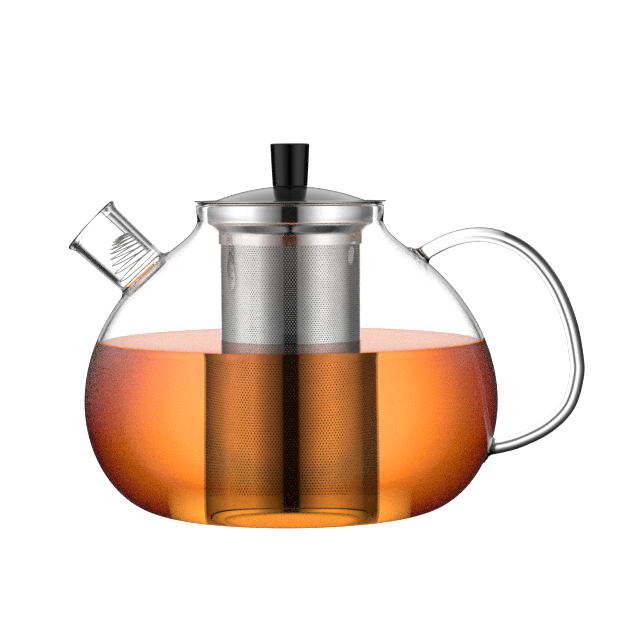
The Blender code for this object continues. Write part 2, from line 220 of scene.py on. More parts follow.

# What the studio looks like through the tea, from head on at 0 to edge on at 1: the tea's orange, with painted
# shade that makes it darker and redder towards edge on
TEA_COLORS = (
    (0.0, (1.50, 0.47, 0.085)),
    (0.030, (1.45, 0.45, 0.085)),
    (0.052, (1.05, 0.36, 0.075)),
    (0.076, (1.00, 0.34, 0.058)),
    (0.098, (1.00, 0.275, 0.028)),
    (0.123, (0.93, 0.215, 0.009)),
    (0.143, (0.78, 0.160, 0.005)),
    (0.160, (0.66, 0.130, 0.004)),
    (0.179, (0.51, 0.095, 0.003)),
    (0.199, (0.44, 0.072, 0.002)),
    (0.220, (0.36, 0.046, 0.001)),
    (0.241, (0.275, 0.024, 0.0005)),
    (0.262, (0.150, 0.006, 0.0003)),
    (0.40, (0.150, 0.010, 0.0003)),
)

# Studio, in degrees: round from behind the pot (-180) past the spout (-90), the camera (0) and the handle
# (90), and up from straight down (-90). The dark gap is where the camera stands.
STUDIO_WHITE = 1.5
STUDIO_SIDES = (
    *((-180.0, 1.0), (-161.0, 1.0), (-157.0, 0.14), (-147.0, 0.25), (-122.0, 0.62), (-104.0, 0.87)),
    *((-89.0, 1.17), (-76.0, 1.28), (-53.0, 1.24), (-42.0, 0.8), (-31.6, 0.46), (-21.5, 0.28)),
    *((-12.0, 0.13), (-10.3, 0.012), (10.3, 0.012), (12.0, 0.2)),
    *((18.0, 0.33), (28.0, 0.64), (38.5, 1.06), (49.0, 1.28), (60.0, 1.33), (72.0, 1.06)),
    *((84.7, 0.8), (98.8, 0.53), (115.0, 0.23), (137.0, 0.2), (157.0, 0.137), (161.0, 1.0), (180.0, 1.0)),
)
STUDIO_LEVELS = (
    *((-90.0, 0.18), (-55.0, 0.18), (-35.0, 1.0), (1.5, 1.0), (4.5, 0.70), (9.0, 0.70)),
    *((20.0, 0.72), (35.0, 0.46), (46.0, 0.33), (58.0, 0.22), (64.0, 0.45), (90.0, 0.45)),
)
FLOOR_RADIUS = 1.6
FLOOR_DROP = 0.0001
FLOOR_GLOW = 1.35

# Smoothness
BODY_SIDES = 168
STEEL_SIDES = 144
KNOB_SIDES = 96
COIL_STEPS_PER_TURN = 56
WIRE_SIDES = 10
HANDLE_SIDES = 36
SPOUT_SIDES = 96

# Camera
CAMERA_PLACE = Vector((0.0112, -0.8440, 0.1281))
CAMERA_TILT = math.radians(3.77)
CAMERA_ROLL = math.radians(-0.3)
CAMERA_LENS = 123.75


# ---------------------------------------------------------------- shapes


def finish_mesh(name, data, look, sharp=35.0, region=0):
    """An object from a bmesh: outward faces, smooth apart from edges sharper than this many degrees."""
    for face in data.faces:
        face.material_index = region
    bmesh.ops.recalc_face_normals(data, faces=data.faces)
    if data.calc_volume(signed=True) < 0.0:
        bmesh.ops.reverse_faces(data, faces=data.faces)
    mesh = bpy.data.meshes.new(name)
    data.to_mesh(mesh)
    data.free()
    obj = bpy.data.objects.new(name, mesh)
    bpy.context.scene.collection.objects.link(obj)
    smooth(obj, sharp)
    if look is not None:
        mesh.materials.append(look)
    return obj


def smooth(obj, sharp):
    for polygon in obj.data.polygons:
        polygon.use_smooth = True
    obj.data.set_sharp_from_angle(angle=math.radians(sharp))


def lathe(name, outline, look, sides, sharp=35.0):
    """A solid from a closed outline of (radius, height) pairs, turned about Z, which may touch the axis."""
    data = bmesh.new()
    rings = []
    for radius, height in outline:
        if radius < ON_AXIS:
            rings.append([data.verts.new((0.0, 0.0, height))])
            continue
        ring = []
        for step in range(sides):
            angle = TAU * step / sides
            ring.append(data.verts.new((radius * math.cos(angle), radius * math.sin(angle), height)))
        rings.append(ring)
    for index, ring in enumerate(rings):
        following = rings[(index + 1) % len(rings)]
        if len(ring) == 1 and len(following) == 1:
            continue
        for step in range(sides):
            after = (step + 1) % sides
            if len(ring) == 1:
                data.faces.new((ring[0], following[after], following[step]))
            elif len(following) == 1:
                data.faces.new((ring[step], ring[after], following[0]))
            else:
                data.faces.new((ring[step], ring[after], following[after], following[step]))
    return finish_mesh(name, data, look, sharp)


def rounded(outline, reach, steps=3):
    """The closed outline with each corner off the axis replaced by a small curve."""
    made = []
    count = len(outline)
    for index, corner in enumerate(outline):
        if corner[0] < ON_AXIS:
            made.append(corner)
            continue
        at = Vector(corner)
        before = Vector(outline[index - 1]) - at
        after = Vector(outline[(index + 1) % count]) - at
        length = min(reach, 0.45 * before.length, 0.45 * after.length)
        start = at + before.normalized() * length
        end = at + after.normalized() * length
        for step in range(steps + 1):
            t = step / steps
            s = 1.0 - t
            place = start * (s * s) + at * (2.0 * s * t) + end * (t * t)
            made.append((place.x, place.y))
    return made


def bezier(start, reach_start, reach_end, end, count):
    """Points of a cubic curve, both ends included."""
    points = []
    for step in range(count):
        t = step / (count - 1)
        s = 1.0 - t
        weights = (s * s * s, 3.0 * s * s * t, 3.0 * s * t * t, t * t * t)
        controls = (start, reach_start, reach_end, end)
        points.append(tuple(sum(w * c[axis] for w, c in zip(weights, controls)) for axis in range(2)))
    return points


def smooth_path(controls, steps):
    """Catmull-Rom points through the controls, as two-part vectors."""
    points = []
    last = len(controls) - 1
    for index in range(last):
        before = Vector(controls[max(index - 1, 0)])
        start = Vector(controls[index])
        end = Vector(controls[index + 1])
        after = Vector(controls[min(index + 2, last)])
        for step in range(steps):
            t = step / steps
            points.append(
                0.5
                * (
                    2.0 * start
                    + (end - before) * t
                    + (2.0 * before - 5.0 * start + 4.0 * end - after) * t * t
                    + (3.0 * start - before - 3.0 * end + after) * t * t * t
                )
            )
    points.append(Vector(controls[last]))
    return points


def skin(data, rings):
    """Joins rings of equal size into a tube with closed ends."""
    sides = len(rings[0])
    for ring, following in zip(rings, rings[1:]):
        for step in range(sides):
            after = (step + 1) % sides
            data.faces.new((ring[step], ring[after], following[after], following[step]))
    data.faces.new(rings[0][::-1])
    data.faces.new(rings[-1])


def bowl_outline():
    """The bowl's outer line from the edge of its flat base up to the neck."""
    lower = bezier(
        (BASE_FLAT_RADIUS, 0.0),
        (BASE_FLAT_RADIUS + BASE_CORNER_REACH, 0.0),
        (BELLY_RADIUS, BELLY_HEIGHT - BELLY_REACH_DOWN),
        (BELLY_RADIUS, BELLY_HEIGHT),
        36,
    )
    upper = bezier(
        (BELLY_RADIUS, BELLY_HEIGHT),
        (BELLY_RADIUS, BELLY_HEIGHT + BELLY_REACH_UP),
        (SHOULDER_RADIUS + SHOULDER_REACH_RADIUS, SHOULDER_HEIGHT - SHOULDER_REACH_HEIGHT),
        (SHOULDER_RADIUS, SHOULDER_HEIGHT),
        40,
    )
    neck = bezier(
        (SHOULDER_RADIUS, SHOULDER_HEIGHT),
        (
            SHOULDER_RADIUS - NECK_REACH_SHARE * SHOULDER_REACH_RADIUS,
            SHOULDER_HEIGHT + NECK_REACH_SHARE * SHOULDER_REACH_HEIGHT,
        ),
        (NECK_RADIUS, NECK_HEIGHT - NECK_REACH_HEIGHT),
        (NECK_RADIUS, NECK_HEIGHT),
        20,
    )
    return lower + upper[1:] + neck[1:]


def offset_outline(points, distance):
    """The same open line moved sideways: a positive distance goes outwards, away from the axis."""
    moved = []
    last = len(points) - 1
    for index, (radius, height) in enumerate(points):
        before = points[max(index - 1, 0)]
        after = points[min(index + 1, last)]
        run = after[0] - before[0]
        rise = after[1] - before[1]
        length = math.hypot(run, rise)
        moved.append((radius + distance * rise / length, height - distance * run / length))
    return moved


def rim_bead():
    """The rolled rim, from the outside of the neck round to the bore."""
    centre_height = RIM_TOP - 0.5 * RIM_BEAD_DEPTH
    middle = 0.5 * (RIM_RADIUS + NECK_BORE_RADIUS)
    half_width = 0.5 * (RIM_RADIUS - NECK_BORE_RADIUS)
    points = []
    for step in range(RIM_STEPS + 1):
        angle = math.pi * step / RIM_STEPS
        across = math.copysign(abs(math.cos(angle)) ** RIM_SQUARENESS, math.cos(angle))
        rise = 0.5 * RIM_BEAD_DEPTH * math.sin(angle) ** RIM_SQUARENESS
        points.append((middle + half_width * across, centre_height + rise))
    return points


def inner_outline(depth):
    """The bowl's inner line, this far inside the outer one, from its floor's edge up to the neck."""
    line = offset_outline(bowl_outline(), -depth)
    floor = BASE_THICKNESS - (WALL - depth)
    line = [(radius, height) for radius, height in line if height > floor]
    return [(line[0][0] - 0.0040, floor), (line[0][0] - 0.0012, floor + 0.00002)] + line


def glass_outline():
    """The closed outline of the bowl's glass: outside, rim, then back down the inside."""
    inside = [point for point in inner_outline(WALL) if point[0] > NECK_BORE_RADIUS]
    inside = [point for point in inside if point[1] < NECK_HEIGHT - 0.0012]
    outside = [(0.5 * BASE_FLAT_RADIUS, 0.0)] + bowl_outline()
    return (
        [(0.0, 0.0)]
        + outside
        + rim_bead()
        + [(NECK_BORE_RADIUS, NECK_HEIGHT)]
        + inside[::-1]
        + [(0.5 * BASE_FLAT_RADIUS, BASE_THICKNESS), (0.0, BASE_THICKNESS)]
    )


BOWL_LINE = np.array(bowl_outline())


def off_bowl(point):
    """How far a point is outside the bowl's outer face, negative inside it."""
    place = np.array((math.hypot(point.x, point.y), point.z))
    starts = BOWL_LINE[:-1]
    runs = BOWL_LINE[1:] - starts
    share = np.clip(((place - starts) * runs).sum(1) / (runs * runs).sum(1), 0.0, 1.0)
    away = place - (starts + runs * share[:, None])
    lengths = np.hypot(away[:, 0], away[:, 1])
    nearest = int(lengths.argmin())
    run = runs[nearest]
    side = run[1] * away[nearest][0] - run[0] * away[nearest][1]
    return math.copysign(float(lengths[nearest]), side)


def flare(distance, reach):
    """Extra radius of a shape fused to the bowl, as a round fillet this wide."""
    if distance >= reach:
        return 0.0
    inward = min(reach, reach - distance)
    return reach - math.sqrt(max(reach * reach - inward * inward, 0.0))


def spout_point(rise, lean, across):
    """A point given along the spout's axis, away from it in the plane of symmetry, and across it."""
    along = Vector((-math.cos(SPOUT_ANGLE), 0.0, math.sin(SPOUT_ANGLE)))
    sideways = Vector((math.sin(SPOUT_ANGLE), 0.0, math.cos(SPOUT_ANGLE)))
    return SPOUT_ROOT + along * rise + sideways * lean + Vector((0.0, across, 0.0))


def spout_solid(outline, fused):
    """A solid round the spout's axis from (radius, rise) pairs, flared by fused where it meets the bowl."""
    data = bmesh.new()
    rings = []
    for radius, rise in outline:
        ring = []
        for step in range(SPOUT_SIDES):
            angle = TAU * step / SPOUT_SIDES
            width = radius
            if fused:
                plain = spout_point(rise, radius * math.cos(angle), radius * math.sin(angle))
                width += flare(off_bowl(plain), fused)
            ring.append(data.verts.new(spout_point(rise, width * math.cos(angle), width * math.sin(angle))))
        rings.append(ring)
    skin(data, rings)
    return finish_mesh("spout_part", data, None, region=SPOUT_REGION)


def spout_outer():
    """The tube's outer line, closely stepped where it flares into the bowl, and its lip."""
    lip_foot = SPOUT_LENGTH - SPOUT_LIP_DEPTH
    fine = 0.0005
    coarse = 0.0015
    flared_to = 0.0120
    rises = [-SPOUT_BURIED + fine * step for step in range(int((SPOUT_BURIED + flared_to) / fine))]
    plain_from = flared_to + fine
    rises += [plain_from + coarse * step for step in range(int((lip_foot - plain_from) / coarse))]
    outline = []
    for rise in rises:
        share = max(0.0, rise / lip_foot)
        outline.append((SPOUT_OUTER_ROOT + (SPOUT_OUTER_LIP - SPOUT_OUTER_ROOT) * share, rise))
    lip = smooth_path(
        (
            (SPOUT_OUTER_LIP, lip_foot),
            (0.5 * (SPOUT_OUTER_LIP + SPOUT_LIP_RADIUS), lip_foot + 0.40 * SPOUT_LIP_DEPTH),
            (SPOUT_LIP_RADIUS - 0.00025, SPOUT_LENGTH - 0.0013),
            (SPOUT_LIP_RADIUS, SPOUT_LENGTH - 0.0007),
            (SPOUT_LIP_RADIUS - 0.0003, SPOUT_LENGTH - 0.0002),
            (SPOUT_LIP_RADIUS - 0.0009, SPOUT_LENGTH),
            (SPOUT_BORE_LIP + 0.0008, SPOUT_LENGTH - 0.0004),
        ),
        5,
    )
    return outline + [(point.x, point.y) for point in lip]


def spout_bore():
    lip_foot = SPOUT_LENGTH - SPOUT_LIP_DEPTH
    return [
        (SPOUT_BORE_ROOT, -0.0125),
        (SPOUT_BORE_ROOT, -0.0060),
        (SPOUT_BORE_ROOT, 0.0),
        (0.5 * (SPOUT_BORE_ROOT + SPOUT_BORE_LIP), 0.5 * lip_foot),
        (SPOUT_BORE_LIP, lip_foot + 0.25 * SPOUT_LIP_DEPTH),
        (SPOUT_BORE_LIP + 0.0003, SPOUT_LENGTH - 0.0012),
        (SPOUT_BORE_LIP + 0.0009, SPOUT_LENGTH - 0.0004),
        (SPOUT_BORE_LIP + 0.0014, SPOUT_LENGTH + 0.0001),
        (SPOUT_BORE_LIP + 0.0016, SPOUT_LENGTH + 0.0010),
    ]


def handle_solid():
    path = smooth_path(HANDLE_PATH, 12)
    data = bmesh.new()
    rings = []
    for index, point in enumerate(path):
        before = path[max(index - 1, 0)]
        after = path[min(index + 1, len(path) - 1)]
        along = (after - before).normalized()
        normal = Vector((along.y, -along.x))
        ring = []
        for step in range(HANDLE_SIDES):
            angle = TAU * step / HANDLE_SIDES
            outward = 0.5 * HANDLE_THICKNESS * math.cos(angle)
            across = 0.5 * HANDLE_WIDTH * math.sin(angle)
            place = point + normal * outward
            extra = flare(off_bowl(Vector((place.x, across, place.y))), HANDLE_FOOT_FLARE)
            length = math.hypot(outward, across)
            grow = (length + extra) / length
            place = point + normal * (outward * grow)
            ring.append(data.verts.new((place.x, across * grow, place.y)))
        rings.append(ring)
    skin(data, rings)
    return finish_mesh("handle_part", data, None, region=HANDLE_REGION)


def combine(obj, other, operation):
    """Joins or cuts obj by other for good, and removes other. Faces keep their material's number."""
    step = obj.modifiers.new("combine", "BOOLEAN")
    step.operation = operation
    step.solver = "EXACT"
    step.material_mode = "INDEX"
    step.object = other
    graph = bpy.context.evaluated_depsgraph_get()
    mesh = bpy.data.meshes.new_from_object(obj.evaluated_get(graph))
    obj.modifiers.clear()
    old = obj.data
    obj.data = mesh
    bpy.data.meshes.remove(old)
    mesh = other.data
    bpy.data.objects.remove(other, do_unlink=True)
    bpy.data.meshes.remove(mesh)


# ---------------------------------------------------------------- materials


def new_material(name):
    made = bpy.data.materials.new(name)
    made.use_nodes = True
    made.node_tree.nodes.clear()
    return made


def add(tree, kind, settings=None, **inputs):
    """A node with these settings. An input is a value or another node's socket; in_0 stands for the first."""
    made = tree.nodes.new(f"ShaderNode{kind}")
    for name, value in (settings or {}).items():
        setattr(made, name, value)
    for name, value in inputs.items():
        socket = made.inputs[int(name[3:])] if name.startswith("in_") else made.inputs[name.replace("_", " ")]
        if isinstance(value, bpy.types.NodeSocket):
            tree.links.new(value, socket)
        else:
            socket.default_value = value
    return made


def calc(tree, operation, first, *second):
    """A Math node's result."""
    values = {f"in_{index}": value for index, value in enumerate((first, *second))}
    return add(tree, "Math", {"operation": operation}, **values).outputs[0]


def product(tree, *values):
    """The values multiplied together."""
    total = values[0]
    for value in values[1:]:
        total = calc(tree, "MULTIPLY", total, value)
    return total


def spread(tree, value, low, high, start=0.0, end=1.0):
    """start where the value is low, end where it is high, in proportion between, and level beyond."""
    made = add(tree, "MapRange", Value=value, From_Min=low, From_Max=high, To_Min=start, To_Max=end)
    return made.outputs[0]


def noise(tree, point, scale, detail, roughness):
    made = add(tree, "TexNoise", Vector=point, Scale=scale, Detail=detail, Roughness=roughness)
    return made.outputs["Fac"]


def bumps(tree, height, strength, distance):
    return add(tree, "Bump", Strength=strength, Distance=distance, Height=height).outputs[0]


def ramp(tree, factor, stops):
    """A Color Ramp through (place, colour or grey) stops."""
    made = add(tree, "ValToRGB", in_0=factor)
    points = made.color_ramp.elements
    while len(points) < len(stops):
        points.new(1.0)
    for point, (place, color) in zip(points, stops):
        point.position = place
        point.color = (*color, 1.0) if isinstance(color, tuple) else (color, color, color, 1.0)
    return made.outputs["Color"]


def blend_colors(tree, factor, first, second, blend="MIX"):
    """first where the factor is 0 and second, or the two blended, where it is 1."""
    settings = {"data_type": "RGBA", "blend_type": blend}
    return add(tree, "Mix", settings, in_0=factor, in_6=first, in_7=second).outputs[2]


def blend_shaders(tree, factor, first, second):
    """The first shader where the factor is 0 and the second where it is 1."""
    return add(tree, "MixShader", in_0=factor, in_1=first, in_2=second).outputs[0]


def object_place(tree):
    """The object-space position, its x and z, and its angle and distance round Z."""
    point = add(tree, "TexCoord").outputs["Object"]
    x, y, z = add(tree, "SeparateXYZ", in_0=point).outputs
    angle = calc(tree, "ARCTAN2", y, x)
    squares = calc(tree, "ADD", calc(tree, "MULTIPLY", x, x), calc(tree, "MULTIPLY", y, y))
    return SimpleNamespace(point=point, x=x, z=z, angle=angle, radius=calc(tree, "SQRT", squares))


def object_normal(tree):
    """The three parts of the surface's direction in object space."""
    normal = add(tree, "TexCoord").outputs["Normal"]
    return add(tree, "SeparateXYZ", in_0=normal).outputs


def facing_share(tree):
    """0 where the surface is seen head on and 1 where it is seen edge on."""
    return add(tree, "LayerWeight", Blend=0.5).outputs["Facing"]


def passed(tree, path, kind, count):
    """1 once the line of sight has met this many surfaces of the kind: Transmission, Glossy or Transparent."""
    return calc(tree, "GREATER_THAN", path.outputs[f"{kind} Depth"], count - 0.5)


def principled(tree, **inputs):
    return add(tree, "BsdfPrincipled", **inputs).outputs[0]


def clear_shader(tree, **inputs):
    """Smooth glass or liquid that light goes through."""
    return principled(tree, Roughness=0.0, Transmission_Weight=1.0, **inputs)


def show(tree, shader):
    """Makes the shader the material's surface."""
    add(tree, "OutputMaterial", Surface=shader)


def seen_through(red, green, blue):
    """The base colour that makes the white studio behind the glass or tea look like this linear colour."""
    return tuple((part / STUDIO_WHITE) ** 2 for part in (red, green, blue))


def seen_greys(stops):
    """Ramp stops for glass from how bright the studio behind it looks at each of them."""
    return [(at, seen_through(grey, grey, grey)) for at, grey in stops]


def clear_glass(name, tint_of, glint=1.0, branch=False):
    """Clear borosilicate with a touch of waviness.

    tint_of gives the colour of light that enters, from how edge on the glass is seen: the glass's own tint,
    with painted shade where it is seen edge on. glint scales the mirror image seen head on, and leaves the one
    seen edge on. A branch isn't mirrored by the steel inside the pot, where its foot would show as a black
    fleck.
    """
    made = new_material(name)
    tree = made.node_tree
    waves = noise(tree, object_place(tree).point, 38.0, 1.0, 0.4)
    path = add(tree, "LightPath")
    mirrored = passed(tree, path, "Glossy", 1)
    leaving = add(tree, "NewGeometry").outputs["Backfacing"]
    # The base colour carries the tint and its painted shade, and is white where light leaves the glass or is
    # mirrored.
    without_tint_or_shade = calc(tree, "MAXIMUM", leaving, mirrored)
    glass = clear_shader(
        tree,
        Base_Color=blend_colors(tree, without_tint_or_shade, tint_of(tree, facing_share(tree)), WHITE),
        IOR=GLASS_IOR,
        Specular_Tint=(glint, glint, glint, 1.0),
        Normal=bumps(tree, waves, 0.05, 0.0006),
    )
    if branch:
        hidden = product(tree, mirrored, passed(tree, path, "Transmission", 3))
        glass = blend_shaders(tree, hidden, glass, add(tree, "BsdfTransparent").outputs[0])
    show(tree, glass)
    return made


def bowl_glass_look():
    def tint_and_painted_shade(tree, facing):
        # The glass's faint tint, with painted shade towards its edges.
        return ramp(tree, facing, BOWL_TINTS_AND_EDGE_SHADES)

    return clear_glass("bowl_glass", tint_and_painted_shade, 0.05)


def spout_glass_look():
    """Painted shade: a dark line along each side of the thin tube, broader along its underside."""

    def tint_and_painted_shade(tree, facing):
        above = calc(tree, "GREATER_THAN", object_normal(tree)[2], 0.0)
        # Painted shade, one ramp for the underside and one for the upper side.
        under_side = ramp(tree, facing, seen_greys(SPOUT_UNDERSIDE))
        upper_side = ramp(tree, facing, seen_greys(SPOUT_UPPERSIDE))
        place = object_place(tree)
        back = calc(tree, "MULTIPLY", calc(tree, "SUBTRACT", SPOUT_ROOT.x, place.x), math.cos(SPOUT_ANGLE))
        up = calc(tree, "MULTIPLY", calc(tree, "SUBTRACT", place.z, SPOUT_ROOT.z), math.sin(SPOUT_ANGLE))
        past_foot = spread(tree, calc(tree, "ADD", back, up), 0.0010, 0.0035)
        along = blend_colors(tree, above, under_side, upper_side)
        return blend_colors(tree, past_foot, (0.9, 0.9, 0.9, 1.0), along)

    return clear_glass("spout_glass", tint_and_painted_shade, 0.3, branch=True)


def handle_glass_look():
    """Painted shade of the room's dark, put into the solid rod's colour: broad on the outside of its bend, and
    one line on the inside.
    """

    def tint_and_painted_shade(tree, facing):
        place = object_place(tree)
        normal = object_normal(tree)
        out_x = calc(tree, "SUBTRACT", place.x, HANDLE_LOOP_CENTRE[0])
        out_z = calc(tree, "SUBTRACT", place.z, HANDLE_LOOP_CENTRE[1])
        outward = calc(tree, "ADD", product(tree, normal[0], out_x), product(tree, normal[2], out_z))
        outside = calc(tree, "GREATER_THAN", outward, 0.0)
        # Painted shade, for the rod and its root, inside and outside the bend.
        rod_inside = ramp(tree, facing, seen_greys(HANDLE_INSIDE))
        rod_outside = ramp(tree, facing, seen_greys(HANDLE_OUTSIDE))
        root_inside = ramp(tree, facing, seen_greys(HANDLE_ROOT_INSIDE))
        root_outside = ramp(tree, facing, seen_greys(HANDLE_ROOT_OUTSIDE))
        rod = blend_colors(tree, outside, rod_inside, rod_outside)
        root = blend_colors(tree, outside, root_inside, root_outside)
        low = calc(tree, "LESS_THAN", place.z, HANDLE_LOOP_CENTRE[1])
        past_root = calc(tree, "MAXIMUM", spread(tree, place.x, 0.058, 0.082), low)
        return blend_colors(tree, past_root, root, rod)

    return clear_glass("handle_glass", tint_and_painted_shade, branch=True)


def foot_glass_look():
    """The pot's flat foot, which shows the table it stands on instead of mirroring the basket."""
    made = new_material("foot_glass")
    show(made.node_tree, clear_shader(made.node_tree, Base_Color=WHITE, IOR=1.0))
    return made


def liquid_surface(tree, entering, ior, glint):
    """Tea that bends and tints light on its way in, and lets it out into the glass as it is."""
    way_in = clear_shader(tree, Base_Color=entering, IOR=ior, Specular_Tint=(glint, glint, glint, 1.0))
    way_out = clear_shader(tree, Base_Color=WHITE, IOR=1.0)
    leaving = add(tree, "NewGeometry").outputs["Backfacing"]
    show(tree, blend_shaders(tree, leaving, way_in, way_out))


def tea_look():
    """Clear orange tea, with painted shade that makes it redder and darker seen edge on, a painted glow low
    down in the middle, and a painted pale sheen near its surface, strongest on the spout side.
    """
    made = new_material("tea_liquid")
    tree = made.node_tree
    place = object_place(tree)
    # Painted shade: the tea's orange, darker and redder towards edge on.
    tint_and_painted_shade = ramp(tree, facing_share(tree), [(at, seen_through(*color)) for at, color in TEA_COLORS])
    # Painted glow: brighter orange low down in the middle.
    low = spread(tree, place.z, 0.017, 0.007)
    central = spread(tree, calc(tree, "ABSOLUTE", place.x), 0.044, 0.030)
    lit = blend_colors(tree, product(tree, low, central), tint_and_painted_shade, (*seen_through(1.5, 0.48, 0.05), 1.0))
    # Painted pale sheen near the surface, strongest on the spout side.
    high = spread(tree, place.z, TEA_PAINTED_SHEEN_FROM, TEA_PAINTED_SHEEN_TO, 0.0, TEA_PAINTED_SHEEN**0.5)
    spout_side = spread(tree, place.x, 0.03, -0.03, 0.12, 1.0)
    with_painted_sheen = blend_colors(tree, product(tree, high, high, spout_side), lit, (0.75, 0.40, 0.30, 1.0))
    liquid_surface(tree, with_painted_sheen, TEA_IOR, 0.1)
    return made


def tea_surface_look():
    """The tea's level top: orange from above, with a painted reflection in pale peach where it is seen almost
    edge on.
    """
    made = new_material("tea_surface")
    tree = made.node_tree
    steep = (*seen_through(1.1, 0.33, 0.04), 1.0)
    # Painted reflection: pale peach where the top is seen almost edge on, redder near the wall.
    middle = (*seen_through(1.0, 0.50, 0.34), 1.0)
    rim = (*seen_through(1.0, 0.22, 0.06), 1.0)
    near_wall = spread(tree, object_place(tree).radius, 0.055, 0.076)
    grazing = spread(tree, facing_share(tree), 0.75, 0.90)
    level = blend_colors(tree, near_wall, middle, rim)
    liquid_surface(tree, blend_colors(tree, grazing, steep, level), TEA_SURFACE_IOR, 1.0)
    return made


def turned_steel_look(name, roughness, concentric=False, tone=0.66, matt_under=False):
    """Polished sheet steel with very fine lines left by turning. matt_under leaves its underside dull."""
    made = new_material(name)
    tree = made.node_tree
    place = object_place(tree)
    across = calc(tree, "MULTIPLY", place.radius if concentric else place.z, 2600.0)
    lines_at = add(tree, "CombineXYZ", in_0=calc(tree, "MULTIPLY", place.angle, 0.6), in_2=across)
    lines = noise(tree, lines_at.outputs[0], 1.0, 3.0, 0.6)
    cloud = noise(tree, place.point, 90.0, 3.0, 0.55)
    mixed = calc(tree, "ADD", calc(tree, "MULTIPLY", lines, 0.55), calc(tree, "MULTIPLY", cloud, 0.45))
    color = ramp(tree, mixed, ((0.3, 0.94 * tone), (0.7, 1.06 * tone)))
    rough = spread(tree, mixed, 0.35, 0.65, 0.75 * roughness, 1.25 * roughness)
    metal = 1.0
    if matt_under:
        under = spread(tree, object_normal(tree)[2], -0.25, -0.7)
        rough = calc(tree, "MAXIMUM", rough, calc(tree, "MULTIPLY", under, 0.7))
        metal = calc(tree, "SUBTRACT", 1.0, under)
    normal = bumps(tree, lines, 0.04, 0.00002)
    show(tree, principled(tree, Base_Color=color, Metallic=metal, Roughness=rough, Normal=normal))
    return made


def hole_distance(tree, place):
    """How far a point of the sleeve is from the middle of the nearest hole."""
    row_at = calc(tree, "DIVIDE", calc(tree, "SUBTRACT", place.z, HOLES_FROM), HOLE_ROW_PITCH)
    row = calc(tree, "FLOOR", row_at)
    stagger = calc(tree, "MULTIPLY", calc(tree, "MODULO", row, 2.0), 0.5)
    round_at = calc(tree, "ADD", calc(tree, "MULTIPLY", place.angle, HOLES_AROUND / TAU), stagger)
    sideways = calc(tree, "SUBTRACT", calc(tree, "FRACT", round_at), 0.5)
    off_round = calc(tree, "MULTIPLY", sideways, TAU * SLEEVE_RADIUS / HOLES_AROUND)
    upwards = calc(tree, "SUBTRACT", calc(tree, "SUBTRACT", row_at, row), 0.5)
    off_row = calc(tree, "MULTIPLY", upwards, HOLE_ROW_PITCH)
    squares = calc(tree, "ADD", product(tree, off_round, off_round), product(tree, off_row, off_row))
    return calc(tree, "SQRT", squares)


def perforated_steel_look():
    """The sleeve's sheet, etched with staggered rows of fine round holes. The inside they show is painted
    black, with a faint painted glow and a painted highlight down its middle above the tea.
    """
    made = new_material("perforated_steel")
    tree = made.node_tree
    place = object_place(tree)
    away = hole_distance(tree, place)
    above_foot = calc(tree, "GREATER_THAN", place.z, HOLES_FROM)
    in_field = product(tree, above_foot, calc(tree, "LESS_THAN", place.z, HOLES_TO))
    hole = spread(tree, away, HOLE_RADIUS + 0.00001, HOLE_RADIUS - 0.00001)
    # Seen through two layers of holes, the far wall turns solid and is painted black: a painted dark sheet
    # where the inside is in shade.
    inside = passed(tree, add(tree, "LightPath"), "Transparent", 2)
    solid = calc(tree, "MAXIMUM", calc(tree, "SUBTRACT", 1.0, product(tree, hole, in_field)), inside)
    # Painted highlight down the middle of the inside, above the tea, on top of a faint painted glow.
    middle = spread(tree, calc(tree, "ABSOLUTE", place.x), 0.0045, 0.0035, 0.0, PAINTED_HOLLOW_GLINT)
    glint = product(tree, middle, calc(tree, "GREATER_THAN", place.z, TEA_LEVEL))
    glow = calc(tree, "ADD", glint, PAINTED_HOLLOW_GLOW)
    cloud = noise(tree, place.point, 120.0, 3.0, 0.55)
    color = ramp(tree, cloud, ((0.3, (0.60, 0.595, 0.59)), (0.7, (0.68, 0.675, 0.67))))
    lip = spread(tree, away, HOLE_RADIUS, HOLE_RADIUS + 0.00012)
    lip_height = calc(tree, "MAXIMUM", lip, calc(tree, "SUBTRACT", 1.0, in_field))
    steel = principled(
        tree,
        Base_Color=blend_colors(tree, inside, color, (0.0, 0.0, 0.0, 1.0)),
        Metallic=1.0,
        Roughness=spread(tree, cloud, 0.3, 0.7, 0.03, 0.06),
        Alpha=solid,
        Emission_Color=WHITE,
        Emission_Strength=product(tree, inside, glow),
        Normal=bumps(tree, lip_height, 0.04, 0.00005),
    )
    show(tree, steel)
    return made


def wire_look():
    """Drawn stainless wire."""
    made = new_material("filter_wire")
    tree = made.node_tree
    cloud = noise(tree, object_place(tree).point, 700.0, 2.0, 0.5)
    color = ramp(tree, cloud, ((0.3, (0.56, 0.555, 0.55)), (0.7, (0.64, 0.635, 0.63))))
    rough = spread(tree, cloud, 0.3, 0.7, 0.12, 0.24)
    show(tree, principled(tree, Base_Color=color, Metallic=1.0, Roughness=rough))
    return made


def knob_look():
    """Moulded black plastic with a satin sheen."""
    made = new_material("knob_plastic")
    tree = made.node_tree
    point = object_place(tree).point
    grain = noise(tree, point, 2400.0, 2.0, 0.6)
    cloud = noise(tree, point, 160.0, 2.0, 0.5)
    color = ramp(tree, cloud, ((0.3, (0.0006, 0.0006, 0.0007)), (0.7, (0.0014, 0.0014, 0.0016))))
    rough = spread(tree, cloud, 0.3, 0.7, 0.07, 0.10)
    normal = bumps(tree, grain, 0.05, 0.00002)
    show(tree, principled(tree, Base_Color=color, Roughness=rough, IOR=1.42, Normal=normal))
    return made


# ---------------------------------------------------------------- pieces


